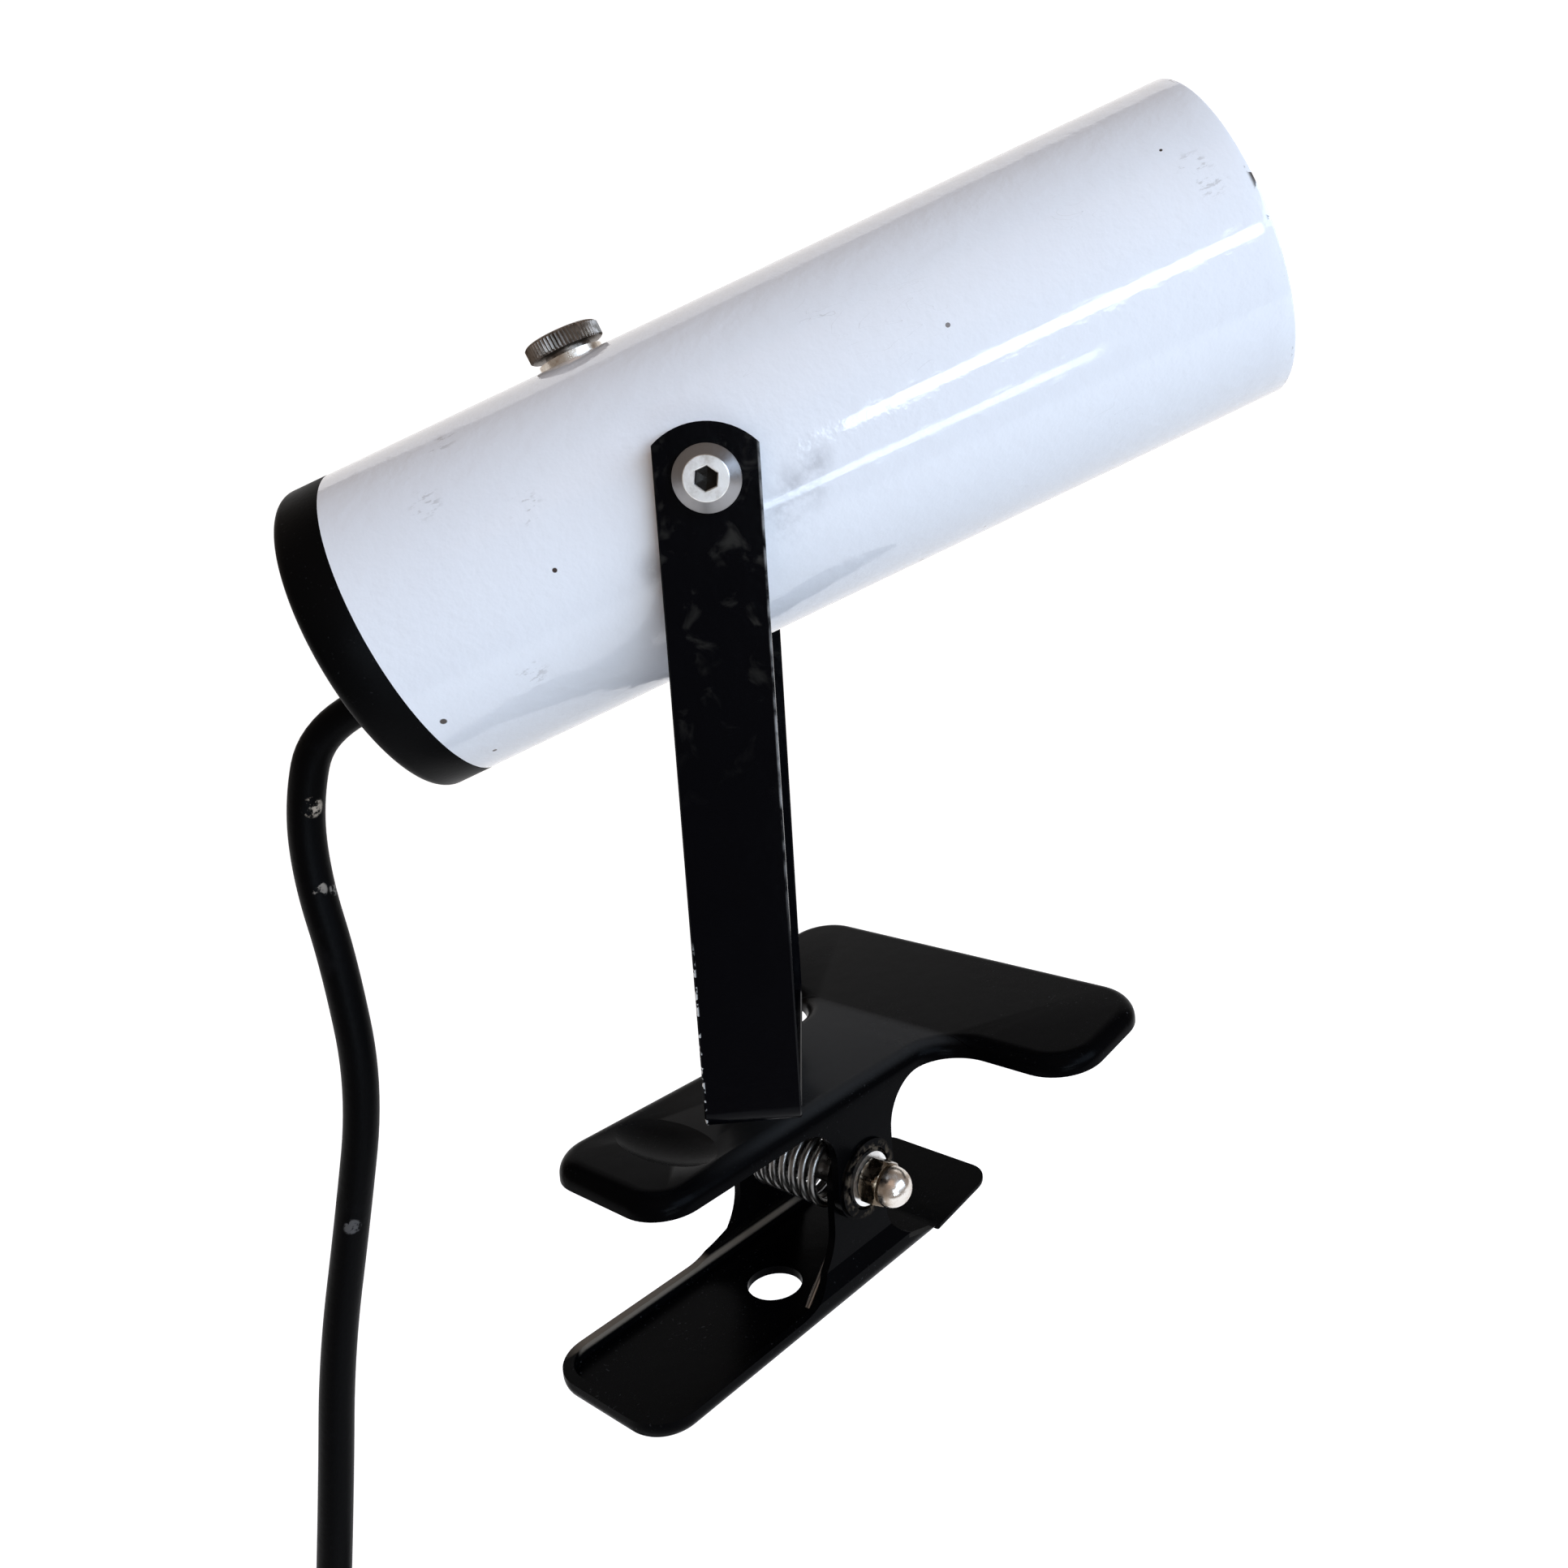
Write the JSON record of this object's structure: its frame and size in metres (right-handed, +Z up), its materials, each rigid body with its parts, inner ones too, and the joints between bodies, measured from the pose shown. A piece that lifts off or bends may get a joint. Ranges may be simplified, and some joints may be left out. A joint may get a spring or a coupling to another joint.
{
  "type": "clamp spotlight",
  "caption": "Clamp spotlight: long tube shade tilting in a strap yoke that swivels on the upper jaw of a sprung sheet-metal clamp, with cord and plug.",
  "frame": {"origin": "on the underside of the upper jaw's wide grip, on the centre line, 19.5 mm ahead of the bend where grip meets stem", "axes": "+X forward from the handles to the mouth along the upper jaw's flat stem, +Y to the far side of the clamp along the clamp bolt, +Z up along the yoke's swivel axis"},
  "size_m": [0.189, 0.2169, 0.5585],
  "materials": {
    "white_enamel": "gloss",
    "black_plastic": "satin",
    "black_enamel": "gloss",
    "bright_zinc": "satin",
    "nickel": "polished",
    "dark_steel": "satin",
    "spring_steel": "bare",
    "black_rubber": "matte",
    "black_fibre": "matte",
    "plug_plastic": "satin",
    "holder_plastic": "matte",
    "brass": "satin",
    "lamp_aluminium": "satin",
    "lamp_glass": "frosted",
    "core_insulation": "satin"
  },
  "bodies": {
    "clamp": {"upper_jaw": "black_enamel", "clamp_bolt": "bright_zinc", "bolt_washers": "bright_zinc", "cap_nut": "nickel", "spring_sleeve": "spring_steel", "torsion_spring": "spring_steel", "swivel_screw": "bright_zinc", "swivel_spacer": "black_fibre", "swivel_nut": "bright_zinc"},
    "lower_jaw": {"lower_jaw": "black_enamel"},
    "yoke": {"yoke_strap": "black_enamel", "cord_run": "black_rubber", "cord_coil": "black_rubber", "cord_tie": "black_fibre", "cord_tail": "black_rubber", "plug_body": "plug_plastic", "plug_pins": "nickel"},
    "head": {"tube_shade": "white_enamel", "rear_cap": "black_plastic", "cord_gland": "black_rubber", "cord_stub": "black_rubber", "core_wires": "core_insulation", "lampholder_body": "holder_plastic", "screw_shell": "brass", "centre_contact": "brass", "holder_bracket": "bright_zinc", "bracket_nut": "bright_zinc", "holder_nipple": "brass", "nipple_nut": "bright_zinc", "bulb_glass": "lamp_glass", "bulb_cap": "lamp_aluminium", "bulb_tip": "brass", "thumb_washer": "nickel", "pivot_screw_near": "bright_zinc", "pivot_screw_far": "bright_zinc", "pivot_spacer_near": "black_fibre", "pivot_spacer_far": "black_fibre", "pivot_nut_near": "bright_zinc", "pivot_nut_far": "bright_zinc"},
    "thumb_screw": {"thumb_screw": "dark_steel"}
  },
  "joints": [
    {"name": "jaw_open", "type": "hinge", "parent": "clamp", "child": "lower_jaw", "pos_m": [-0.052, 0, -0.02452], "axis": [0, 1, 0], "range_deg": [-47, 22], "stiffness_Nm_per_rad": 0.33, "deforming": ["torsion_spring"]},
    {"name": "yoke_swivel", "type": "hinge", "parent": "clamp", "child": "yoke", "pos_m": [-0.066, 0, -0.00052], "axis": [0, 0, 1], "range_deg": [-70, 150]},
    {"name": "head_tilt", "type": "hinge", "parent": "yoke", "child": "head", "pos_m": [-0.066, 0, 0.14088], "axis": [0.7414, 0.6711, 0], "range_deg": [-40, 60], "deforming": ["cord_run"]},
    {"name": "thumb_screw_turn", "type": "hinge", "parent": "head", "child": "thumb_screw", "pos_m": [-0.08585, 0.02193, 0.16754], "axis": [-0.259, 0.2861, 0.9225], "continuous": true}
  ]
}
